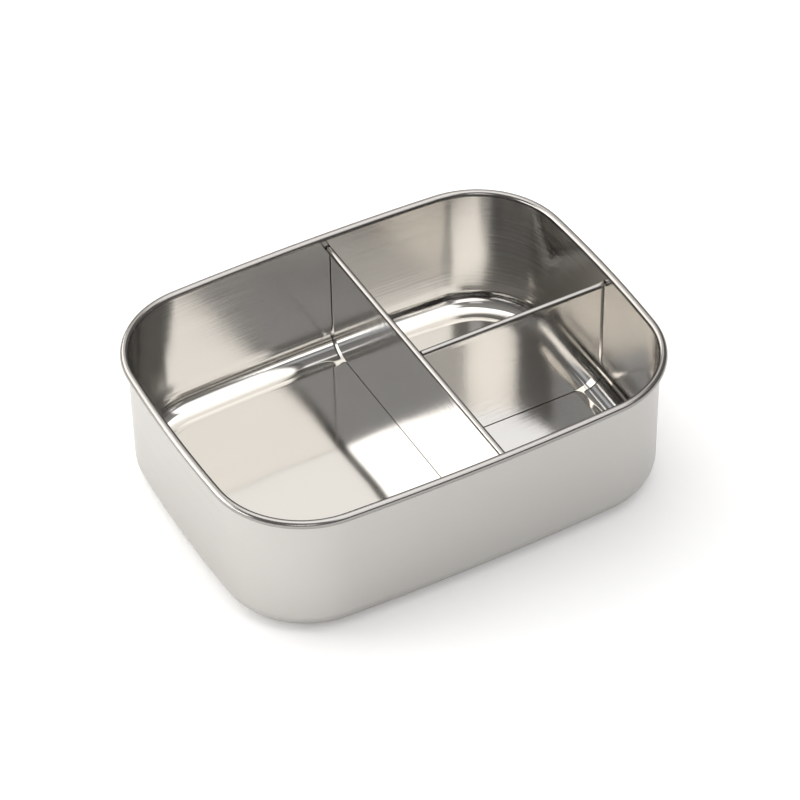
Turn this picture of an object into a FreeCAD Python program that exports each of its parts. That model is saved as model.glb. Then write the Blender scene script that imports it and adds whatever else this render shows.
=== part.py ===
"""Steel lunch box: an open drawn tray with a rolled rim and a lift-out T divider for three compartments."""
import FreeCAD, Part
import math
import os
import Sketcher
from FreeCAD import Vector

# Driving sizes: name, value in millimetres or degrees, what it measures
SIZES = (
    ("rim_length", 180.0, "tray length over the rolled rim"),
    ("rim_width", 138.0, "tray width over the rolled rim"),
    ("tray_height", 55.9, "table to the top of the rim"),
    ("tray_sheet", 0.6, "thickness of the drawn tray"),
    ("corner_radius", 33.8, "plan radius of the outside corners"),
    ("long_side_bow", 1114.0, "plan radius of the gently bowed long sides"),
    ("short_side_bow", 557.0, "plan radius of the gently bowed short sides"),
    ("floor_radius", 8.4, "outside radius from the wall to the groove round the floor"),
    ("groove_width", 2.7, "bottom of the floor radius to the edge of the raised floor panel"),
    ("panel_rise", 0.4, "height that the floor panel is pressed up"),
    ("curl_diameter", 3.1, "outside diameter of the rolled rim"),
    ("curl_wrap", 270.0, "degrees that the rim is rolled through"),
    ("divider_sheet", 0.6, "thickness of both divider plates"),
    ("rail_diameter", 2.4, "outside diameter of the dividers' rolled top edge"),
    ("rail_wrap", 285.0, "degrees that the dividers' top edge is rolled through"),
    ("rail_drop", 4.9, "top of the rim down to the top of the rails"),
    ("cross_place", 9.9, "middle of the tray to the cross divider, along the length"),
    ("side_place", -1.3, "middle of the tray to the side divider, across the width"),
    ("end_gap", 0.7, "divider end to tray wall"),
    ("seat_gap", 0.3, "divider bottom edge to the tray's floor"),
    ("divider_corner", 11.0, "radius of the dividers' bottom corners"),
    ("flange_width", 10.0, "weld flange of the side divider, along the cross divider"),
    ("flange_drop", 3.0, "underside of the rail down to the top of the flange"),
    ("bend_radius", 0.4, "inside radius of the flange's bend"),
    ("notch_gap", 0.4, "slit between the flange and the strip above it"),
)

# Sizes that several pieces share, as formulas on the sheet
HALF_LENGTH = "(Sizes.rim_length / 2 - Sizes.curl_diameter + Sizes.tray_sheet)"
HALF_WIDTH = "(Sizes.rim_width / 2 - Sizes.curl_diameter + Sizes.tray_sheet)"
CURL_HEIGHT = "(Sizes.tray_height - Sizes.curl_diameter / 2)"
RAIL_HEIGHT = "(Sizes.tray_height - Sizes.rail_drop - Sizes.rail_diameter / 2)"
PANEL_INSET = "(Sizes.floor_radius + Sizes.groove_width)"
PLATE_BOTTOM = "(Sizes.panel_rise + Sizes.tray_sheet + Sizes.seat_gap)"
FLANGE_TOP = "(" + RAIL_HEIGHT + " - Sizes.rail_diameter / 2 - Sizes.flange_drop)"
BEND_REACH = "(Sizes.bend_radius + Sizes.divider_sheet)"

# Where the bowed walls stop a divider, from the middle of the tray
CROSS_END = (
    "(" + HALF_WIDTH + " - Sizes.long_side_bow - Sizes.end_gap"
    " + sqrt((Sizes.long_side_bow - Sizes.tray_sheet)^2 - Sizes.cross_place^2))"
)
SIDE_END = (
    "(" + HALF_LENGTH + " - Sizes.short_side_bow - Sizes.end_gap"
    " + sqrt((Sizes.short_side_bow - Sizes.tray_sheet)^2 - Sizes.side_place^2))"
)

# Straight bends that the rim is rolled in, outside and in the hollow of the roll, which hardly shows
ROLL_BENDS = 9
HOLLOW_BENDS = 3

ORIGIN = (-1, 1)
START, END, CENTRE = 1, 2, 3


def make_sheet(doc):
    """Fill the spreadsheet and return the sizes by name."""
    sheet = doc.addObject("Spreadsheet::Sheet", "Sizes")
    for row, (name, value, meaning) in enumerate(SIZES, start=1):
        sheet.set("A%d" % row, meaning)
        sheet.set("B%d" % row, str(value))
        sheet.setAlias("B%d" % row, name)
    doc.recompute()
    return {name: float(sheet.get(name)) for name, value, meaning in SIZES}


def new_sketch(body, role, name):
    """A sketch on one of the body's own origin planes."""
    sketch = body.newObject("Sketcher::SketchObject", name)
    plane = [item for item in body.Origin.OriginFeatures if item.Role == role][0]
    sketch.AttachmentSupport = [(plane, "")]
    sketch.MapMode = "FlatFace"
    return sketch


def bind(sketch, formula, kind, *where):
    """Add a dimension whose value follows a formula on the sheet."""
    index = sketch.addConstraint(Sketcher.Constraint(kind, *where))
    sketch.setExpression("Constraints[%d]" % index, formula)


def tie(sketch, kind, *where):
    """Add a geometric constraint."""
    sketch.addConstraint(Sketcher.Constraint(kind, *where))


def line(ax, ay, bx, by):
    return Part.LineSegment(Vector(ax, ay, 0), Vector(bx, by, 0))


def arc(cx, cy, radius, start, end):
    """Arc drawn anticlockwise between two angles in degrees."""
    circle = Part.Circle(Vector(cx, cy, 0), Vector(0, 0, 1), radius)
    return Part.ArcOfCircle(circle, math.radians(start), math.radians(end))


def wall_half_sizes(size):
    overhang = size["curl_diameter"] - size["tray_sheet"]
    return size["rim_length"] / 2 - overhang, size["rim_width"] / 2 - overhang


def corner_centre(size):
    """Centre of the plan's corner arc, which is tangent inside both bowed sides."""
    half_length, half_width = wall_half_sizes(size)
    long_centre = Vector(0, half_width - size["long_side_bow"], 0)
    short_centre = Vector(half_length - size["short_side_bow"], 0, 0)
    from_long = size["long_side_bow"] - size["corner_radius"]
    from_short = size["short_side_bow"] - size["corner_radius"]
    apart = short_centre - long_centre
    along = (from_long ** 2 - from_short ** 2 + apart.Length ** 2) / (2 * apart.Length)
    across = math.sqrt(from_long ** 2 - along ** 2)
    unit = apart / apart.Length
    return long_centre + unit * along + Vector(unit.y, -unit.x, 0) * across


def plan_arcs(size, inset):
    """The eight tangent arcs of the tray's plan, drawn in by an inset, anticlockwise from the right end."""
    half_length, half_width = wall_half_sizes(size)
    corner = corner_centre(size)
    long_y = half_width - size["long_side_bow"]
    short_x = half_length - size["short_side_bow"]
    low = math.degrees(math.atan2(corner.y, corner.x - short_x))
    high = math.degrees(math.atan2(corner.y - long_y, corner.x))
    end_radius = size["short_side_bow"] - inset
    side_radius = size["long_side_bow"] - inset
    turn_radius = size["corner_radius"] - inset
    return [
        arc(short_x, 0, end_radius, -low, low),
        arc(corner.x, corner.y, turn_radius, low, high),
        arc(0, long_y, side_radius, high, 180 - high),
        arc(-corner.x, corner.y, turn_radius, 180 - high, 180 - low),
        arc(-short_x, 0, end_radius, 180 - low, 180 + low),
        arc(-corner.x, -corner.y, turn_radius, 180 + low, 180 + high),
        arc(0, -long_y, side_radius, 180 + high, 360 - high),
        arc(corner.x, -corner.y, turn_radius, 360 - high, 360 - low),
    ]


def plan_sketch(body, size, name, inset, inset_formula):
    """The tray's plan, drawn in from the wall's outside face: bowed sides and round corners, all tangent."""
    sketch = new_sketch(body, "XY_Plane", name)
    sketch.addGeometry(plan_arcs(size, inset), False)
    count = sketch.GeometryCount
    for index in range(count):
        tie(sketch, "Tangent", index, END, (index + 1) % count, START)
    for corner in (3, 5, 7):
        tie(sketch, "Equal", 1, corner)
    tie(sketch, "Equal", 0, 4)
    tie(sketch, "Equal", 2, 6)
    for index, axis in ((0, -1), (4, -1), (2, -2), (6, -2)):
        tie(sketch, "PointOnObject", index, CENTRE, axis)
    for index, radius in ((0, "short_side_bow"), (1, "corner_radius"), (2, "long_side_bow")):
        bind(sketch, "Sizes.%s - %s" % (radius, inset_formula), "Radius", index, size[radius] - inset)
    half_length, half_width = wall_half_sizes(size)
    end_reach = size["short_side_bow"] - half_length
    side_reach = size["long_side_bow"] - half_width
    bind(sketch, "Sizes.short_side_bow - " + HALF_LENGTH, "DistanceX", 0, CENTRE, *ORIGIN, end_reach)
    bind(sketch, "Sizes.short_side_bow - " + HALF_LENGTH, "DistanceX", *ORIGIN, 4, CENTRE, end_reach)
    bind(sketch, "Sizes.long_side_bow - " + HALF_WIDTH, "DistanceY", 2, CENTRE, *ORIGIN, side_reach)
    bind(sketch, "Sizes.long_side_bow - " + HALF_WIDTH, "DistanceY", *ORIGIN, 6, CENTRE, side_reach)
    return sketch


def curl_arcs(cx, cy, outer, sheet, wrap):
    """Outer and inner arc of a rolled edge whose sheet comes up on the left and rolls over to the right."""
    free_end = 180 - wrap
    return arc(cx, cy, outer, free_end, 180), arc(cx, cy, outer - sheet, free_end, 180)


def bends_along(sketch, guide, count):
    """Draw equal straight bends from the start to the end of a construction arc."""
    roll = sketch.Geometry[guide]
    first, last = roll.FirstParameter, roll.LastParameter
    points = [roll.value(first + (last - first) * step / count) for step in range(count + 1)]
    bends = [Part.LineSegment(here, there) for here, there in zip(points, points[1:])]
    numbers = list(sketch.addGeometry(bends, False))
    tie(sketch, "Coincident", numbers[0], START, guide, START)
    for here, there in zip(numbers, numbers[1:]):
        tie(sketch, "Coincident", here, END, there, START)
        tie(sketch, "PointOnObject", here, END, guide)
        tie(sketch, "Equal", here, there)
    tie(sketch, "Coincident", numbers[-1], END, guide, END)


def wall_section(body, size):
    """The sheet's section from the floor up: groove, floor radius, wall and outward roll, as one closed profile."""
    sketch = new_sketch(body, "XZ_Plane", "WallSection")
    sheet = size["tray_sheet"]
    radius = size["floor_radius"]
    rise = size["panel_rise"]
    curl = size["curl_diameter"] / 2
    half_length = wall_half_sizes(size)[0]
    turn_x = half_length - radius
    panel_x = turn_x - size["groove_width"]
    curl_x = half_length - sheet + curl
    curl_y = size["tray_height"] - curl
    outer_curl, inner_curl = curl_arcs(curl_x, curl_y, curl, sheet, size["curl_wrap"])
    sketch.addGeometry([
        line(panel_x, rise + sheet, panel_x, rise),
        line(panel_x, rise, turn_x, 0),
        arc(turn_x, radius, radius, -90, 0),
        line(half_length, radius, half_length, curl_y),
        inner_curl,
        Part.LineSegment(inner_curl.StartPoint, outer_curl.StartPoint),
        outer_curl,
        line(half_length - sheet, curl_y, half_length - sheet, radius),
        arc(turn_x, radius, radius - sheet, -90, 0),
        line(turn_x, sheet, panel_x, rise + sheet),
    ], False)
    panel_end, outer_groove, outer_turn, outer_wall, inner_roll = range(5)
    lip, outer_roll, inner_wall, inner_turn, inner_groove = range(5, 10)
    tie(sketch, "Coincident", panel_end, END, outer_groove, START)
    tie(sketch, "Coincident", outer_groove, END, outer_turn, START)
    tie(sketch, "Tangent", outer_turn, END, outer_wall, START)
    tie(sketch, "Tangent", outer_wall, END, inner_roll, END)
    tie(sketch, "Coincident", inner_roll, START, lip, START)
    tie(sketch, "Coincident", lip, END, outer_roll, START)
    tie(sketch, "Tangent", outer_roll, END, inner_wall, START)
    tie(sketch, "Tangent", inner_wall, END, inner_turn, END)
    tie(sketch, "Coincident", inner_turn, START, inner_groove, START)
    tie(sketch, "Coincident", inner_groove, END, panel_end, START)
    tie(sketch, "Coincident", outer_turn, CENTRE, inner_turn, CENTRE)
    tie(sketch, "Coincident", outer_roll, CENTRE, inner_roll, CENTRE)
    tie(sketch, "Vertical", outer_wall)
    tie(sketch, "Vertical", panel_end)
    tie(sketch, "Vertical", outer_turn, START, outer_turn, CENTRE)
    tie(sketch, "Vertical", inner_turn, START, outer_turn, CENTRE)
    tie(sketch, "PointOnObject", outer_roll, CENTRE, lip)
    tie(sketch, "PointOnObject", outer_turn, START, -1)
    for roll, bends in ((inner_roll, HOLLOW_BENDS), (outer_roll, ROLL_BENDS)):
        sketch.toggleConstruction(roll)
        bends_along(sketch, roll, bends)
    bind(sketch, "Sizes.floor_radius", "Radius", outer_turn, radius)
    bind(sketch, "Sizes.floor_radius - Sizes.tray_sheet", "Radius", inner_turn, radius - sheet)
    bind(sketch, "Sizes.groove_width", "DistanceX", panel_end, END, outer_turn, START, size["groove_width"])
    bind(sketch, "Sizes.panel_rise", "DistanceY", *ORIGIN, panel_end, END, rise)
    bind(sketch, "Sizes.tray_sheet", "DistanceY", panel_end, END, panel_end, START, sheet)
    bind(sketch, "Sizes.curl_diameter / 2", "Radius", outer_roll, curl)
    bind(sketch, "Sizes.curl_diameter / 2 - Sizes.tray_sheet", "Radius", inner_roll, curl - sheet)
    bind(sketch, HALF_LENGTH, "DistanceX", *ORIGIN, outer_wall, START, half_length)
    bind(sketch, CURL_HEIGHT, "DistanceY", *ORIGIN, outer_roll, CENTRE, curl_y)
    bind(sketch, "Sizes.curl_wrap * 1 deg", "Angle", outer_roll, math.radians(size["curl_wrap"]))
    return sketch


def make_tray(doc, size):
    """The drawn tray: the raised floor panel, and the wall's section carried round the plan."""
    body = doc.addObject("PartDesign::Body", "Tray")
    body.Label = "tray"
    inset = size["floor_radius"] + size["groove_width"]
    panel = body.newObject("PartDesign::Pad", "FloorPanel")
    panel.Profile = plan_sketch(body, size, "PanelOutline", inset, PANEL_INSET)
    panel.Profile[0].setExpression("AttachmentOffset.Base.z", "Sizes.panel_rise")
    panel.setExpression("Length", "Sizes.tray_sheet")
    section = wall_section(body, size)
    outline = plan_sketch(body, size, "PlanOutline", 0.0, "0")
    doc.recompute()
    wall = body.newObject("PartDesign::AdditivePipe", "Wall")
    wall.Profile = section
    wall.Spine = outline
    return body


def divider_section(body, role, size):
    """A divider's section: a flat plate whose top edge is rolled over to the negative side."""
    sketch = new_sketch(body, role, "Section")
    sheet = size["divider_sheet"]
    half = sheet / 2
    roll = size["rail_diameter"] / 2
    wrap = size["rail_wrap"]
    low = size["panel_rise"] + size["tray_sheet"] + size["seat_gap"]
    high = size["tray_height"] - size["rail_drop"] - roll
    outer_roll = arc(half - roll, high, roll, 0, wrap)
    inner_roll = arc(half - roll, high, roll - sheet, 0, wrap)
    sketch.addGeometry([
        line(-half, low, half, low),
        line(half, low, half, high),
        outer_roll,
        Part.LineSegment(outer_roll.EndPoint, inner_roll.EndPoint),
        inner_roll,
        line(-half, high, -half, low),
    ], False)
    bottom, right, outer, lip, inner, left = range(6)
    tie(sketch, "Coincident", bottom, END, right, START)
    tie(sketch, "Tangent", right, END, outer, START)
    tie(sketch, "Coincident", outer, END, lip, START)
    tie(sketch, "Coincident", lip, END, inner, END)
    tie(sketch, "Tangent", inner, START, left, START)
    tie(sketch, "Coincident", left, END, bottom, START)
    tie(sketch, "Coincident", outer, CENTRE, inner, CENTRE)
    tie(sketch, "PointOnObject", outer, CENTRE, lip)
    tie(sketch, "Vertical", right)
    tie(sketch, "Vertical", left)
    tie(sketch, "Horizontal", bottom)
    bind(sketch, "Sizes.rail_diameter / 2", "Radius", outer, roll)
    bind(sketch, "Sizes.rail_diameter / 2 - Sizes.divider_sheet", "Radius", inner, roll - sheet)
    bind(sketch, "Sizes.divider_sheet / 2", "DistanceX", *ORIGIN, right, START, half)
    bind(sketch, PLATE_BOTTOM, "DistanceY", *ORIGIN, right, START, low)
    bind(sketch, RAIL_HEIGHT, "DistanceY", *ORIGIN, outer, CENTRE, high)
    bind(sketch, "Sizes.rail_wrap * 1 deg", "Angle", outer, math.radians(wrap))
    return sketch


def bottom_corners(shape, axis, ends):
    """Names of the short edges at the plate's bottom, at the given ends along an axis."""
    names = []
    for number, edge in enumerate(shape.Edges, start=1):
        points = [vertex.Point for vertex in edge.Vertexes]
        at_bottom = all(abs(point.z - shape.BoundBox.ZMin) < 1e-6 for point in points)
        at_end = any(all(abs(point[axis] - end) < 1e-6 for point in points) for end in ends)
        if at_bottom and at_end:
            names.append("Edge%d" % number)
    return names


def round_corners(doc, body, pad, axis, ends):
    """Round the plate's bottom corners, which clear the tray's floor radius."""
    doc.recompute()
    corners = body.newObject("PartDesign::Fillet", "BottomCorners")
    corners.Base = (pad, bottom_corners(pad.Shape, axis, ends))
    corners.setExpression("Radius", "Sizes.divider_corner")


def make_cross_divider(doc, size):
    """Full-width plate across the tray, rounded at both bottom corners."""
    body = doc.addObject("PartDesign::Body", "CrossDivider")
    body.Label = "cross_divider"
    pad = body.newObject("PartDesign::Pad", "Plate")
    pad.Profile = divider_section(body, "XZ_Plane", size)
    pad.Midplane = True
    pad.setExpression("Length", "2 * " + CROSS_END)
    doc.recompute()
    box = pad.Shape.BoundBox
    round_corners(doc, body, pad, 1, (box.YMin, box.YMax))
    body.setExpression("Placement.Base.x", "Sizes.cross_place")
    return body


def notch_sketch(body, size):
    """Cut-out at the T end that leaves only a strip under the rail, beside the flange's bend."""
    sketch = new_sketch(body, "XZ_Plane", "NotchOutline")
    reach = size["bend_radius"] + size["divider_sheet"]
    top = size["tray_height"] - size["rail_drop"] - size["rail_diameter"] - size["flange_drop"]
    top += size["notch_gap"]
    sketch.addGeometry([
        line(0, 0, reach, 0),
        line(reach, 0, reach, top),
        line(reach, top, 0, top),
        line(0, top, 0, 0),
    ], False)
    for index in range(4):
        tie(sketch, "Coincident", index, END, (index + 1) % 4, START)
    tie(sketch, "Horizontal", 0)
    tie(sketch, "Vertical", 1)
    tie(sketch, "Horizontal", 2)
    tie(sketch, "Vertical", 3)
    tie(sketch, "Coincident", 0, START, *ORIGIN)
    bind(sketch, BEND_REACH, "DistanceX", 0, START, 0, END, reach)
    bind(sketch, FLANGE_TOP + " + Sizes.notch_gap", "DistanceY", 1, START, 1, END, top)
    return sketch


def flange_sketch(body, size):
    """Plan of the bent flange: round the bend, then flat against the cross divider."""
    sketch = new_sketch(body, "XY_Plane", "FlangeOutline")
    sheet = size["divider_sheet"]
    bend = size["bend_radius"]
    reach = bend + sheet
    centre_y = sheet / 2 + bend
    tip = sheet / 2 + size["flange_width"]
    sketch.addGeometry([
        line(reach, sheet / 2, reach, -sheet / 2),
        arc(reach, centre_y, reach, 180, 270),
        line(0, centre_y, 0, tip),
        line(0, tip, sheet, tip),
        line(sheet, tip, sheet, centre_y),
        arc(reach, centre_y, bend, 180, 270),
    ], False)
    root, outer, face, edge, back, inner = range(6)
    tie(sketch, "Coincident", root, END, outer, END)
    tie(sketch, "Tangent", outer, START, face, START)
    tie(sketch, "Coincident", face, END, edge, START)
    tie(sketch, "Coincident", edge, END, back, START)
    tie(sketch, "Tangent", back, END, inner, START)
    tie(sketch, "Coincident", inner, END, root, START)
    tie(sketch, "Coincident", outer, CENTRE, inner, CENTRE)
    tie(sketch, "PointOnObject", outer, CENTRE, root)
    tie(sketch, "Vertical", root)
    tie(sketch, "Vertical", face)
    tie(sketch, "Vertical", back)
    tie(sketch, "Horizontal", edge)
    tie(sketch, "PointOnObject", face, END, -2)
    bind(sketch, "Sizes.bend_radius", "Radius", inner, bend)
    bind(sketch, BEND_REACH, "Radius", outer, reach)
    bind(sketch, "Sizes.divider_sheet / 2", "DistanceY", *ORIGIN, root, START, sheet / 2)
    bind(sketch, "Sizes.divider_sheet / 2 + Sizes.flange_width", "DistanceY", *ORIGIN, face, END, tip)
    sketch.setExpression("AttachmentOffset.Base.z", PLATE_BOTTOM)
    return sketch


def make_side_divider(doc, size):
    """Plate from the cross divider to the right wall, with a bent flange welded to the cross divider."""
    body = doc.addObject("PartDesign::Body", "SideDivider")
    body.Label = "side_divider"
    pad = body.newObject("PartDesign::Pad", "Plate")
    pad.Profile = divider_section(body, "YZ_Plane", size)
    pad.setExpression("Length", SIDE_END + " - Sizes.cross_place - Sizes.divider_sheet / 2")
    doc.recompute()
    round_corners(doc, body, pad, 0, (pad.Shape.BoundBox.XMax,))
    notch = body.newObject("PartDesign::Pocket", "Notch")
    notch.Profile = notch_sketch(body, size)
    notch.Type = "ThroughAll"
    notch.Midplane = True
    flange = body.newObject("PartDesign::Pad", "Flange")
    flange.Profile = flange_sketch(body, size)
    flange.setExpression("Length", FLANGE_TOP + " - " + PLATE_BOTTOM)
    body.setExpression("Placement.Base.x", "Sizes.cross_place + Sizes.divider_sheet / 2")
    body.setExpression("Placement.Base.y", "Sizes.side_place")
    return body


def main():
    doc = FreeCAD.newDocument("LunchBox")
    size = make_sheet(doc)
    bodies = [make_tray(doc, size), make_cross_divider(doc, size), make_side_divider(doc, size)]
    doc.recompute()
    for item in doc.Objects:
        if "Invalid" in item.State or "Error" in item.State:
            raise RuntimeError("%s did not build: %s" % (item.Name, item.State))
    os.makedirs("parts", exist_ok=True)
    for body in bodies:
        if body.Shape.isNull() or not body.Shape.isValid():
            raise RuntimeError("%s has no valid shape" % body.Label)
        body.Shape.exportStep("parts/%s.step" % body.Label)
        print(body.Label, len(body.Shape.Solids), round(body.Shape.Volume, 1))


main()
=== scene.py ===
"""Steel lunch box: a drawn tray with a rolled rim, a lift-out T divider and a white studio."""
import math
import bmesh
import bpy
from bpy.props import FloatProperty, PointerProperty, StringProperty
from mathutils import Matrix, Vector


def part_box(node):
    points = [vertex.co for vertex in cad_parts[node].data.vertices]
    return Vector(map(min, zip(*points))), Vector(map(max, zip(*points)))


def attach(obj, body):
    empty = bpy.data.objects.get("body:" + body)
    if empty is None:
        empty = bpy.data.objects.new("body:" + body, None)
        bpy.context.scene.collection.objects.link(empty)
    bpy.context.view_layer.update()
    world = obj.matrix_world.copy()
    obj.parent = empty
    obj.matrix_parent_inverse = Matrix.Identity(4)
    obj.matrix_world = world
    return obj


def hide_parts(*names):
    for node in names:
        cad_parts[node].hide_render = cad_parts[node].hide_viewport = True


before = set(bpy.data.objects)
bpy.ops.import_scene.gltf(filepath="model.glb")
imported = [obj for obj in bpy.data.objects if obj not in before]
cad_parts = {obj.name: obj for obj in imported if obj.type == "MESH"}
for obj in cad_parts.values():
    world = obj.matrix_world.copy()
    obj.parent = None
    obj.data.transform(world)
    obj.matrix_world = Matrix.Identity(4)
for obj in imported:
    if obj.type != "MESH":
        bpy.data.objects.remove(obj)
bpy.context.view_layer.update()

bl_info = {
    "name": "Steel Lunch Box",
    "version": (1, 0, 0),
    "blender": (4, 5, 0),
    "location": "View3D > Sidebar > Lunch Box",
    "description": "Models an open steel lunch box with a lift-out divider and a white studio",
    "category": "Object",
}

TRAY_LOW, TRAY_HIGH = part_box("tray")
CROSS_LOW, CROSS_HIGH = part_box("cross_divider")
SIDE_LOW, SIDE_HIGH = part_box("side_divider")

MM = 0.001
AXIS_X = Vector((1, 0, 0))
AXIS_Y = Vector((0, 1, 0))
AXIS_Z = Vector((0, 0, 1))

# Points that are this close count as one
NEAR = 0.01 * MM
# Width of the narrow faces that keep a flat's shading apart from the bend beside it
GUARD = 0.4 * MM
# Faces that meet at more than this angle keep a crisp edge
CRISP_ANGLE = math.radians(40)
# Steps of the bends, fine enough to look round
RIM_STEPS = 40
RAIL_STEPS = 36
FLOOR_TURN_STEPS = 24
PLATE_CORNER_STEPS = 24
FLANGE_STEPS = 6
# Rows of faces up the wall
WALL_STEPS = 8
# The sheet's front, back and cut edge fill the first slots, and the rolled edge's own three follow
ROLL_SLOT = 3
# Width of the table, in metres
FLOOR_SIZE = 8


def length(name, description, default):
    """A size in metres that the sidebar shows in the scene's own units."""
    return FloatProperty(
        name=name, description=description, default=default, min=0.0, precision=5, unit="LENGTH")


def angle(name, description, degrees):
    """An angle that is given in degrees."""
    return FloatProperty(
        name=name, description=description, default=math.radians(degrees), subtype="ANGLE")


def share(name, description, value):
    """A share from 0 to 1."""
    return FloatProperty(name=name, description=description, default=value, min=0.0, max=1.0)


def colour(name, description, value):
    """An sRGB colour as a hex value."""
    return StringProperty(name=name, description=description, default=value)


class LunchBoxTray(bpy.types.PropertyGroup):
    """Sizes of the drawn tray."""
    rim_length: length("Rim length", "Length over the rolled rim", TRAY_HIGH.x - TRAY_LOW.x)
    rim_width: length("Rim width", "Width over the rolled rim", TRAY_HIGH.y - TRAY_LOW.y)
    height: length("Height", "Table to the top of the rim", TRAY_HIGH.z)
    sheet: length("Sheet", "Thickness of the drawn sheet", 0.6 * MM)
    corner_radius: length("Corner radius", "Plan radius of the outside corners", 33.8 * MM)
    long_bow: length("Long side bow", "Plan radius of the bowed long sides", 1114 * MM)
    short_bow: length("Short side bow", "Plan radius of the bowed short sides", 557 * MM)
    floor_radius: length("Floor radius", "Outside radius from the wall to the floor's groove", 8.4 * MM)
    groove: length("Groove", "Bottom of the floor radius to the edge of the floor panel", 2.7 * MM)
    panel_rise: length("Panel rise", "Height that the floor panel is pressed up", 0.4 * MM)
    roll: length("Roll", "Outside diameter of the rolled rim", 3.1 * MM)
    roll_wrap: angle("Roll wrap", "Angle that the rim is rolled through", 300)


class LunchBoxDivider(bpy.types.PropertyGroup):
    """Sizes of the T divider."""
    sheet: length("Sheet", "Thickness of both plates", 0.6 * MM)
    rail: length("Rail", "Outside diameter of the rolled top edge", 2.4 * MM)
    rail_wrap: angle("Rail wrap", "Angle that the top edge is rolled through", 285)
    corner: length("Corner", "Radius of the plates' bottom corners", 11 * MM)
    flange_drop: length("Flange drop", "Underside of the rail to the top of the weld flange", 3 * MM)
    bend: length("Bend", "Inside radius of the weld flange's bend", 0.4 * MM)
    slit: length("Slit", "Slit between the weld flange and the strip above it", 0.4 * MM)


class LunchBoxSteel(bpy.types.PropertyGroup):
    """Colours, gloss and surface marks of the steel."""
    inside_tone: colour("Inside tone", "Reflection colour of the tray's inside", "#D3D0CB")
    outside_tone: colour("Outside tone", "Reflection colour of the tray's outside", "#C6C4C0")
    plate_tone: colour("Plate tone", "Reflection colour of the divider's sheet", "#D8D9DB")
    # The rolled edges' tone, darker than the flats', is painted shade for the rim's darker reflections
    roll_painted_shade_tone: colour("Roll tone", "Reflection colour of the rolled edges", "#A19E9B")
    edge_tone: colour("Edge tone", "Reflection colour of the sheet's cut edges", "#4A4643")
    floor_roughness: share("Floor roughness", "Blur of the tray's polished floor", 0.1)
    wall_roughness: share("Wall roughness", "Blur of the tray's polished walls", 0.18)
    outside_roughness: share("Outside roughness", "Blur of the satin outside", 0.34)
    plate_roughness: share("Plate roughness", "Blur of the divider's plates", 0.1)
    roll_roughness: share("Roll roughness", "Blur of the rolled edges", 0.2)
    edge_roughness: share("Edge roughness", "Blur of the sheet's cut edges", 0.5)
    roughness_spread: share("Roughness spread", "How much the blur varies from streak to streak", 0.03)
    # Real polishing marks are under 0.1 mm high and are drawn coarser here, so that they show
    streak_length: length("Streak length", "Length of the marks that drawing and polishing leave", 70 * MM)
    streak_height: length("Streak height", "Height of one such mark", 0.8 * MM)
    streak_depth: length("Streak depth", "Depth of one such mark", 0.025 * MM)
    brush_depth: length("Brush depth", "Depth of one mark on the divider's brushed plates", 0.028 * MM)
    wave_size: length("Wave size", "Width of the waves in the thin sheet", 22 * MM)
    wave_depth: length("Wave depth", "Depth of the waves in the thin sheet", 0.1 * MM)


class LunchBoxStudio(bpy.types.PropertyGroup):
    """Camera and surroundings."""
    azimuth: angle("Azimuth", "Camera's turn round the box, from the front", -28.42)
    elevation: angle("Elevation", "Camera's height above the horizon", 42.67)
    roll: angle("Roll", "Camera's tilt about its own view", -1.05)
    distance: length("Distance", "Camera to the middle of the rim", 1238.3 * MM)
    lens: FloatProperty(
        name="Lens", description="Focal length on the sensor", default=156.33, unit="CAMERA")
    aim_right: length("Aim right", "How far the view is moved to the right of the rim's middle", 2.41 * MM)
    aim_down: length("Aim down", "How far the view is moved below the rim's middle", 17.99 * MM)
    aim_height: length("Aim height", "Height of the rim's middle above the table", 54.78 * MM)
    floor: colour("Floor", "Colour of the table and backdrop", "#FCFCFC")
    floor_lift: share("Floor lift", "How much whiter the table is shown than it is lit", 0.13)
    mirror_lift: share("Mirror lift", "Share of that lift in the steel's reflections", 0.3)


def linear(value):
    """An sRGB hex colour as linear red, green, blue and alpha."""
    channels = [int(value[place:place + 2], 16) / 255 for place in (1, 3, 5)]
    curve = [c / 12.92 if c <= 0.04045 else ((c + 0.055) / 1.055) ** 2.4 for c in channels]
    return (*curve, 1.0)


def add_node(tree, kind, inputs=None, **settings):
    """Add a node; settings are its own values, and inputs set its sockets or link them to an output."""
    item = tree.nodes.new(kind)
    for name, value in settings.items():
        setattr(item, name, value)
    for name, value in (inputs or {}).items():
        if isinstance(value, bpy.types.NodeSocket):
            tree.links.new(value, item.inputs[name])
        else:
            item.inputs[name].default_value = value
    return item


def new_material(name):
    """An empty node material and its tree."""
    material = bpy.data.materials.new(name)
    material.use_nodes = True
    material.node_tree.nodes.clear()
    return material, material.node_tree


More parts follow.
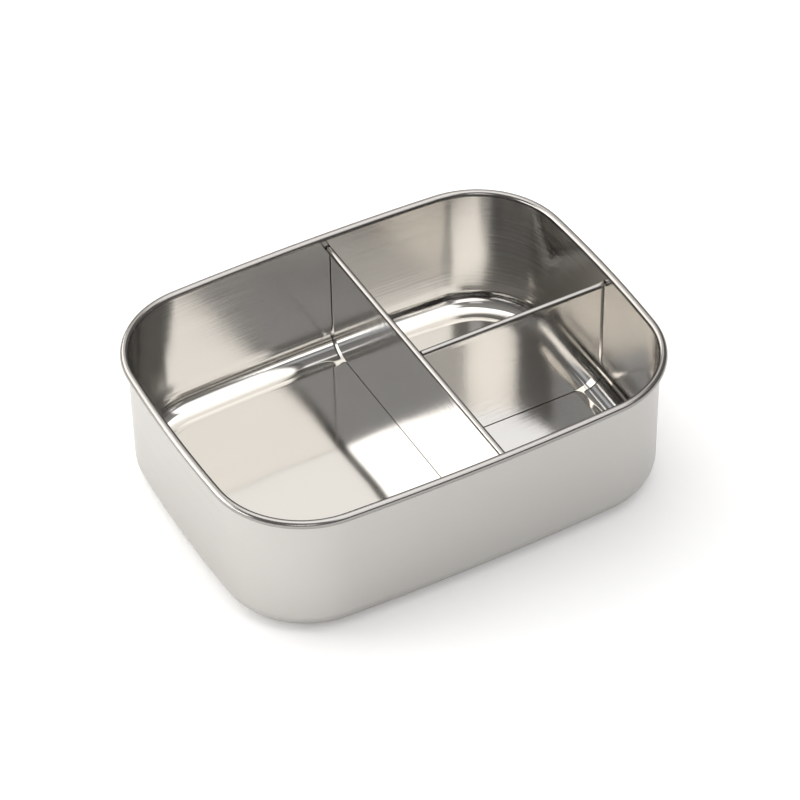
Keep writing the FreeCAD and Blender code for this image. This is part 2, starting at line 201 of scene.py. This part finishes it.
def sheet_steel(name, tone, low_blur, high_blur, depth, steel):
    """Stainless sheet, as it comes from drawing and polishing.

    Slow waves bend its reflections, fine level streaks vary its gloss, and its blur grows upwards.
    """
    material, tree = new_material(name)
    place = add_node(tree, "ShaderNodeTexCoord").outputs["Object"]
    long, low = 1 / steel.streak_length, 1 / steel.streak_height
    stretched = add_node(tree, "ShaderNodeMapping", {"Vector": place, "Scale": (long, long, low)})
    streaks = add_node(tree, "ShaderNodeTexNoise", {
        "Vector": stretched.outputs[0],
        "Scale": 1.0,
        "Detail": 3.0,
    })
    height = add_node(tree, "ShaderNodeSeparateXYZ", {"Vector": place}).outputs["Z"]
    # The blur changes from the flat floor to just above the floor radius
    blur = add_node(tree, "ShaderNodeMapRange", {
        "Value": height,
        "From Min": 1 * MM,
        "From Max": 12 * MM,
        "To Min": low_blur,
        "To Max": high_blur,
    })
    # The noise lies mostly between these two values
    change = add_node(tree, "ShaderNodeMapRange", {
        "Value": streaks.outputs[0],
        "From Min": 0.3,
        "From Max": 0.7,
        "To Min": -steel.roughness_spread,
        "To Max": steel.roughness_spread,
    })
    gloss = add_node(tree, "ShaderNodeMath", {0: blur.outputs[0], 1: change.outputs[0]}, operation="ADD")
    waves = add_node(tree, "ShaderNodeTexNoise", {
        "Vector": place,
        "Scale": 1 / steel.wave_size,
        "Detail": 0.0,
    })
    bent = add_node(tree, "ShaderNodeBump", {"Height": waves.outputs[0], "Distance": steel.wave_depth})
    marked = add_node(tree, "ShaderNodeBump", {
        "Height": streaks.outputs[0],
        "Distance": depth,
        "Normal": bent.outputs[0],
    })
    shader = add_node(tree, "ShaderNodeBsdfPrincipled", {
        "Base Color": linear(tone),
        "Metallic": 1.0,
        "Roughness": gloss.outputs[0],
        "Normal": marked.outputs[0],
    })
    add_node(tree, "ShaderNodeOutputMaterial", {"Surface": shader.outputs[0]})
    return material


def start_point(name, place):
    """A new piece in edit mode with one selected vertex, from which its section is drawn."""
    bpy.ops.object.select_all(action="DESELECT")
    bpy.ops.mesh.primitive_plane_add(size=MM, location=(0, 0, 0))
    piece = bpy.context.object
    piece.name = name
    piece.data.name = name
    bpy.ops.object.mode_set(mode="EDIT")
    bpy.ops.mesh.select_all(action="SELECT")
    bpy.ops.mesh.merge(type="CENTER")
    bpy.ops.transform.translate(value=place)
    return piece


def pull(offset, steps=1):
    """Extrude what is selected by an offset, in equal steps."""
    for _ in range(steps):
        bpy.ops.mesh.extrude_region_move(TRANSFORM_OT_translate={"value": Vector(offset) / steps})


def turn(centre, axis, sweep, steps):
    """Spin what is selected anticlockwise round an axis through a centre.

    The operator counts that way as negative.
    """
    bpy.ops.mesh.spin(steps=steps, angle=-sweep, center=centre, axis=axis)


def round_corners(radius):
    """Round the selected corners of a flat plate."""
    bpy.ops.mesh.bevel(affect="VERTICES", offset=radius, segments=PLATE_CORNER_STEPS, offset_type="OFFSET")


def select_points(piece, wanted):
    """Select the vertices that a test accepts, with the edges and faces between them."""
    bpy.ops.mesh.select_mode(type="VERT")
    bpy.ops.mesh.select_all(action="DESELECT")
    mesh = bmesh.from_edit_mesh(piece.data)
    for vertex in mesh.verts:
        vertex.select = wanted(vertex.co)
    mesh.select_flush(True)
    bmesh.update_edit_mesh(piece.data)


def face_along(piece, probe, direction):
    """Make all faces agree, with the face nearest to a probe looking along a direction."""
    bpy.ops.mesh.select_all(action="SELECT")
    bpy.ops.mesh.normals_make_consistent(inside=False)
    mesh = bmesh.from_edit_mesh(piece.data)
    nearest = min(mesh.faces, key=lambda face: (face.calc_center_median() - Vector(probe)).length)
    if nearest.normal.dot(Vector(direction)) < 0:
        bpy.ops.mesh.flip_normals()


def thicken(piece, sheet, front, back, roll_bottom, steel):
    """Give the drawn surface its thickness and the finishes of its faces, rolled edge and cut edges."""
    rolled, cut, depth = steel.roll_roughness, steel.edge_roughness, steel.streak_depth
    # Rolled edges have a soft line of light along the top; their tone, darker than the flats', is painted
    # shade that stands in for the rim's darker reflections
    roll_name = "stainless_steel_rolled_edge_" + piece.name
    roll = sheet_steel(roll_name, steel.roll_painted_shade_tone, rolled, rolled, depth, steel)
    # Cut edges are dull and dark, as sheared sheet is
    edge_name = "stainless_steel_cut_edge_" + piece.name
    edge = sheet_steel(edge_name, steel.edge_tone, cut, cut, depth, steel)
    # A face's back and its cut edge take the two slots after the face's own
    for finish in (front, back, edge, roll, roll, edge):
        piece.data.materials.append(finish)
    select_points(piece, lambda point: point.z > roll_bottom - NEAR)
    piece.active_material_index = ROLL_SLOT
    bpy.ops.object.material_slot_assign()
    bpy.ops.object.mode_set(mode="OBJECT")
    bpy.ops.object.modifier_add(type="SOLIDIFY")
    wall = piece.modifiers[-1]
    wall.thickness = sheet
    wall.offset = -1.0
    wall.use_even_offset = True
    wall.material_offset = 1
    wall.material_offset_rim = 2
    bpy.ops.object.modifier_apply(modifier=wall.name)
    bpy.ops.object.shade_smooth_by_angle(angle=CRISP_ANGLE)


def thicken_plate(piece, finish_name, roll_bottom, divider, steel):
    """Finish a divider plate: brushed steel with clear reflections that fine level marks draw out."""
    tone, blur = steel.plate_tone, steel.plate_roughness
    finish = sheet_steel(finish_name, tone, blur, blur, steel.brush_depth, steel)
    thicken(piece, divider.sheet, finish, finish, roll_bottom, steel)


def dress(piece, node, body):
    """Give a finished piece its place in the frame."""
    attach(piece, body)
    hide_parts(node)


def plan_turns(tray):
    """The tray's plan as turns of the wall section, anticlockwise from the middle of the right end.

    Each is a centre, a sweep and a count of steps: bowed sides and round corners that run tangent
    into each other.
    """
    overhang = tray.roll - tray.sheet
    half_length = tray.rim_length / 2 - overhang
    half_width = tray.rim_width / 2 - overhang
    end_x = half_length - tray.short_bow
    side_y = half_width - tray.long_bow
    from_end = tray.short_bow - tray.corner_radius
    from_side = tray.long_bow - tray.corner_radius
    apart = Vector((end_x, -side_y))
    along = (from_side ** 2 - from_end ** 2 + apart.length_squared) / (2 * apart.length)
    across = math.sqrt(from_side ** 2 - along ** 2)
    unit = apart.normalized()
    corner = Vector((0, side_y)) + unit * along + Vector((unit.y, -unit.x)) * across
    low = math.atan2(corner.y, corner.x - end_x)
    high = math.atan2(corner.y - side_y, corner.x)
    end_steps, corner_steps, side_steps = 8, 44, 20
    turns = [((end_x, 0, 0), low, end_steps)]
    for turn_x, turn_y in ((1, 1), (-1, 1), (-1, -1), (1, -1)):
        turns.append(((turn_x * corner.x, turn_y * corner.y, 0), high - low, corner_steps))
        if turn_x * turn_y > 0:
            turns.append(((0, turn_y * side_y, 0), math.pi - 2 * high, side_steps))
        elif turn_x < 0:
            turns.append(((-end_x, 0, 0), 2 * low, 2 * end_steps))
    turns.append(((end_x, 0, 0), low, end_steps))
    return turns


class LUNCHBOX_OT_tray(bpy.types.Operator):
    """Draw the sheet's section, spin it round the plan, close the floor and thicken the sheet"""
    bl_idname = "lunchbox.tray"
    bl_label = "Drawn tray"

    def execute(self, context):
        tray = context.scene.lunch_tray
        steel = context.scene.lunch_steel
        roll = tray.roll / 2
        wall_x = tray.rim_length / 2 - tray.roll
        roll_centre = Vector((wall_x + roll, 0, tray.height - roll))
        turn_centre = Vector((wall_x + tray.sheet - tray.floor_radius, 0, tray.floor_radius))
        panel_x = turn_centre.x - tray.groove
        panel_y = panel_x - (tray.rim_length - tray.rim_width) / 2
        panel_top = tray.sheet + tray.panel_rise
        free_end = Matrix.Rotation(tray.roll_wrap, 3, AXIS_Y) @ Vector((-roll, 0, 0))
        # The section runs from the roll's free end over the rim, down the wall and round into the floor
        piece = start_point("drawn_tray", roll_centre + free_end)
        turn(roll_centre, -AXIS_Y, tray.roll_wrap, RIM_STEPS)
        wall_height = roll_centre.z - turn_centre.z
        pull((0, 0, -GUARD))
        pull((0, 0, -(wall_height - 2 * GUARD)), WALL_STEPS)
        pull((0, 0, -GUARD))
        turn(turn_centre, AXIS_Y, math.pi / 2, FLOOR_TURN_STEPS)
        # Short first and last steps keep both edges of the groove's slope crisp
        slope = Vector((-tray.groove, 0, tray.panel_rise))
        for part in (0.1, 0.8, 0.1):
            pull(slope * part)
        bpy.ops.mesh.select_all(action="SELECT")
        for centre, sweep, steps in plan_turns(tray):
            turn(centre, AXIS_Z, sweep, steps)
        bpy.ops.mesh.select_all(action="SELECT")
        bpy.ops.mesh.remove_doubles(threshold=NEAR)
        # A narrow ring keeps the flat panel's shading apart from the groove
        select_points(piece, lambda point: abs(point.z - panel_top) < NEAR)
        pull((0, 0, 0))
        ring = (1 - GUARD / panel_x, 1 - GUARD / panel_y, 1)
        bpy.ops.transform.resize(value=ring, center_override=(0, 0, panel_top))
        pull((0, 0, 0))
        bpy.ops.mesh.merge(type="CENTER")
        face_along(piece, (0, 0, panel_top), AXIS_Z)
        depth = steel.streak_depth
        # The polished inside is nearly a mirror on the floor and softer up the walls
        tone, low, high = steel.inside_tone, steel.floor_roughness, steel.wall_roughness
        inside = sheet_steel("stainless_steel_polished_inside", tone, low, high, depth, steel)
        # The satin outside blurs what it reflects into broad, even shades
        tone, satin = steel.outside_tone, steel.outside_roughness
        outside = sheet_steel("stainless_steel_satin_outside", tone, satin, satin, depth, steel)
        thicken(piece, tray.sheet, inside, outside, tray.height - tray.roll, steel)
        dress(piece, "tray", "tray")
        return {"FINISHED"}


class LUNCHBOX_OT_cross_divider(bpy.types.Operator):
    """Draw the full-width plate, round its bottom corners and roll its top edge"""
    bl_idname = "lunchbox.cross_divider"
    bl_label = "Cross divider"

    def execute(self, context):
        divider = context.scene.lunch_divider
        steel = context.scene.lunch_steel
        roll = divider.rail / 2
        roll_centre = Vector((CROSS_HIGH.x - roll, 0, CROSS_HIGH.z - roll))
        piece = start_point("cross_divider_plate", Vector((CROSS_HIGH.x, CROSS_LOW.y, CROSS_LOW.z)))
        pull((0, CROSS_HIGH.y - CROSS_LOW.y, 0))
        bpy.ops.mesh.select_all(action="SELECT")
        pull((0, 0, roll_centre.z - CROSS_LOW.z - GUARD))
        pull((0, 0, GUARD))
        turn(roll_centre, -AXIS_Y, divider.rail_wrap, RAIL_STEPS)
        select_points(piece, lambda point: abs(point.z - CROSS_LOW.z) < NEAR)
        round_corners(divider.corner)
        face_along(piece, (CROSS_HIGH.x, 0, roll_centre.z / 2), AXIS_X)
        thicken_plate(piece, "stainless_steel_brushed_cross_plate", roll_centre.z - roll, divider, steel)
        dress(piece, "cross_divider", "divider")
        return {"FINISHED"}


class LUNCHBOX_OT_side_divider(bpy.types.Operator):
    """Draw the short plate, bend its weld flange, round its far bottom corner and roll its top edge"""
    bl_idname = "lunchbox.side_divider"
    bl_label = "Side divider"

    def execute(self, context):
        divider = context.scene.lunch_divider
        steel = context.scene.lunch_steel
        roll = divider.rail / 2
        plate_y = SIDE_LOW.y + divider.rail
        roll_centre = Vector((0, plate_y - roll, SIDE_HIGH.z - roll))
        reach = divider.bend + divider.sheet
        bend_x = SIDE_LOW.x + reach
        bend_centre = Vector((bend_x, plate_y + divider.bend, 0))
        flange_top = roll_centre.z - roll - divider.flange_drop
        strip_bottom = flange_top + divider.slit
        far_corner = Vector((SIDE_HIGH.x, plate_y, SIDE_LOW.z))
        piece = start_point("side_divider_plate", Vector((bend_x, plate_y, SIDE_LOW.z)))
        pull((SIDE_HIGH.x - bend_x, 0, 0))
        bpy.ops.mesh.select_all(action="SELECT")
        pull((0, 0, flange_top - SIDE_LOW.z))
        pull((0, 0, divider.slit))
        pull((0, 0, roll_centre.z - flange_top - divider.slit - GUARD))
        pull((0, 0, GUARD))
        # The strip above the slit runs on straight to the cross divider
        select_points(piece, lambda point: abs(point.x - bend_x) < NEAR and point.z > strip_bottom - NEAR)
        pull((-reach, 0, 0))
        select_points(piece, lambda point: abs(point.z - roll_centre.z) < NEAR)
        turn(roll_centre, AXIS_X, divider.rail_wrap, RAIL_STEPS)
        # The flange below the slit is bent round to lie flat against the cross divider
        select_points(piece, lambda point: abs(point.x - bend_x) < NEAR and point.z < flange_top + NEAR)
        turn(bend_centre, -AXIS_Z, math.pi / 2, FLANGE_STEPS)
        pull((0, SIDE_HIGH.y - plate_y - divider.bend, 0))
        select_points(piece, lambda point: (point - far_corner).length < NEAR)
        round_corners(divider.corner)
        face_along(piece, (SIDE_HIGH.x / 2, plate_y, roll_centre.z / 2), AXIS_Y)
        thicken_plate(piece, "stainless_steel_brushed_side_plate", roll_centre.z - roll, divider, steel)
        dress(piece, "side_divider", "divider")
        return {"FINISHED"}


def place_camera(studio):
    """A long lens at the photograph's angle."""
    around, rise, tilt = studio.azimuth, studio.elevation, studio.roll
    flat = math.cos(rise)
    back = Vector((math.sin(around) * flat, -math.cos(around) * flat, math.sin(rise)))
    level = Vector((math.cos(around), math.sin(around), 0))
    upright = back.cross(level)
    right = level * math.cos(tilt) + upright * math.sin(tilt)
    up = upright * math.cos(tilt) - level * math.sin(tilt)
    data = bpy.data.cameras.new("camera")
    data.sensor_width = 36
    data.lens = studio.lens
    data.clip_start = 0.05
    data.clip_end = 50
    camera = bpy.data.objects.new("camera", data)
    middle = Vector((0, 0, studio.aim_height))
    place = middle + back * studio.distance + right * studio.aim_right - up * studio.aim_down
    camera.matrix_world = Matrix.Translation(place) @ Matrix((right, up, back)).transposed().to_4x4()
    bpy.context.scene.collection.objects.link(camera)
    bpy.context.scene.camera = camera


def place_floor(studio):
    """A wide table of matt white paper, seen as an even white with the box's soft shadow on it."""
    bpy.ops.object.select_all(action="DESELECT")
    bpy.ops.mesh.primitive_plane_add(size=FLOOR_SIZE, location=(0, 0, 0))
    floor = bpy.context.object
    floor.name = "pale_floor"
    material, tree = new_material("white_paper_matt")
    # The camera sees the whole lift, and the steel's reflections a share of it
    path = add_node(tree, "ShaderNodeLightPath").outputs
    mirrored = {0: path["Is Glossy Ray"], 1: studio.mirror_lift, 2: path["Is Camera Ray"]}
    seen = add_node(tree, "ShaderNodeMath", mirrored, operation="MULTIPLY_ADD")
    lifted = {0: seen.outputs[0], 1: studio.floor_lift}
    lift = add_node(tree, "ShaderNodeMath", lifted, operation="MULTIPLY")
    shader = add_node(tree, "ShaderNodeBsdfPrincipled", {
        "Base Color": linear(studio.floor),
        "Roughness": 0.9,
        "Emission Color": linear(studio.floor),
        "Emission Strength": lift.outputs[0],
    })
    add_node(tree, "ShaderNodeOutputMaterial", {"Surface": shader.outputs[0]})
    floor.data.materials.append(material)


def toward(azimuth, elevation):
    """The direction at an azimuth, in degrees from the back to the right, and at an elevation."""
    around, rise = math.radians(azimuth), math.radians(elevation)
    flat = math.cos(rise)
    return Vector((math.sin(around) * flat, math.cos(around) * flat, math.sin(rise)))


def place_softbox(name, azimuth, elevation, distance, width, height, radiance, tint):
    """A soft rectangular lamp that faces the box, as bright as its radiance says."""
    data = bpy.data.lights.new(name, "AREA")
    data.shape = "RECTANGLE"
    data.size = width
    data.size_y = height
    data.energy = radiance * math.pi * width * height
    data.color = linear(tint)[:3]
    lamp = bpy.data.objects.new(name, data)
    lamp.location = toward(azimuth, elevation) * distance
    lamp.rotation_mode = "QUATERNION"
    lamp.rotation_quaternion = lamp.location.to_track_quat("Z", "Y")
    bpy.context.scene.collection.objects.link(lamp)


def place_lamps():
    """The lamps that the steel mirrors: one overhead, two behind and the rest in front and at the left."""
    place_softbox("overhead_softbox", azimuth=50, elevation=81, distance=1.4,
                  width=1.5, height=1.15, radiance=1.9, tint="#FFFFFF")
    place_softbox("back_left_softbox", azimuth=-33, elevation=35, distance=1.6,
                  width=1.85, height=1.0, radiance=2.75, tint="#FFFCF8")
    place_softbox("back_right_softbox", azimuth=28, elevation=43, distance=1.6,
                  width=0.8, height=0.8, radiance=0.96, tint="#FFFDFA")
    place_softbox("front_right_softbox", azimuth=151, elevation=48, distance=1.6,
                  width=0.95, height=0.8, radiance=1.62, tint="#FDFDFE")
    place_softbox("front_left_strip", azimuth=-148, elevation=27, distance=1.6,
                  width=0.7, height=0.28, radiance=3.2, tint="#FFFFFF")
    place_softbox("left_softbox", azimuth=-74, elevation=18, distance=1.2,
                  width=1.1, height=0.3, radiance=5.0, tint="#FFFFFF")
    place_softbox("front_left_fill", azimuth=-153, elevation=45, distance=1.6,
                  width=0.36, height=0.3, radiance=0.64, tint="#F3F7FF")


def place_room(scene):
    """A room that is pale overhead and darker from there down to the table."""
    world = bpy.data.worlds.new("white_room")
    world.use_nodes = True
    tree = world.node_tree
    tree.nodes.clear()
    way = add_node(tree, "ShaderNodeTexCoord").outputs["Generated"]
    height = add_node(tree, "ShaderNodeSeparateXYZ", {"Vector": way}).outputs["Z"]
    level = add_node(tree, "ShaderNodeMapRange", {
        "Value": height,
        "From Min": 0.6,
        "From Max": 0.95,
        "To Min": 0.23,
        "To Max": 0.4,
    })
    shade = add_node(tree, "ShaderNodeBackground", {
        "Color": linear("#FAF8F6"),
        "Strength": level.outputs[0],
    })
    add_node(tree, "ShaderNodeOutputWorld", {"Surface": shade.outputs[0]})
    scene.world = world


class LUNCHBOX_OT_studio(bpy.types.Operator):
    """Set up the camera, the pale floor and the soft light"""
    bl_idname = "lunchbox.studio"
    bl_label = "White studio"

    def execute(self, context):
        scene = context.scene
        place_camera(scene.lunch_studio)
        place_floor(scene.lunch_studio)
        place_lamps()
        place_room(scene)
        scene.view_settings.view_transform = "Standard"
        return {"FINISHED"}


class LUNCHBOX_PT_sidebar(bpy.types.Panel):
    """Steps and sizes of the lunch box"""
    bl_idname = "LUNCHBOX_PT_sidebar"
    bl_label = "Lunch Box"
    bl_space_type = "VIEW_3D"
    bl_region_type = "UI"
    bl_category = "Lunch Box"

    def draw(self, context):
        for step in STEPS:
            self.layout.operator(step.bl_idname)
        for group, settings in GROUPS.items():
            box = self.layout.box()
            for name in settings.__annotations__:
                box.prop(getattr(context.scene, group), name)


STEPS = (LUNCHBOX_OT_tray, LUNCHBOX_OT_cross_divider, LUNCHBOX_OT_side_divider, LUNCHBOX_OT_studio)
GROUPS = {
    "lunch_tray": LunchBoxTray,
    "lunch_divider": LunchBoxDivider,
    "lunch_steel": LunchBoxSteel,
    "lunch_studio": LunchBoxStudio,
}


def register():
    for item in (*GROUPS.values(), *STEPS, LUNCHBOX_PT_sidebar):
        bpy.utils.register_class(item)
    for name, settings in GROUPS.items():
        setattr(bpy.types.Scene, name, PointerProperty(type=settings))


def unregister():
    for name in GROUPS:
        delattr(bpy.types.Scene, name)
    for item in (LUNCHBOX_PT_sidebar, *STEPS[::-1], *list(GROUPS.values())[::-1]):
        bpy.utils.unregister_class(item)


def main():
    register()
    bpy.ops.lunchbox.tray()
    bpy.ops.lunchbox.cross_divider()
    bpy.ops.lunchbox.side_divider()
    bpy.ops.lunchbox.studio()


if __name__ == "__main__":
    main()
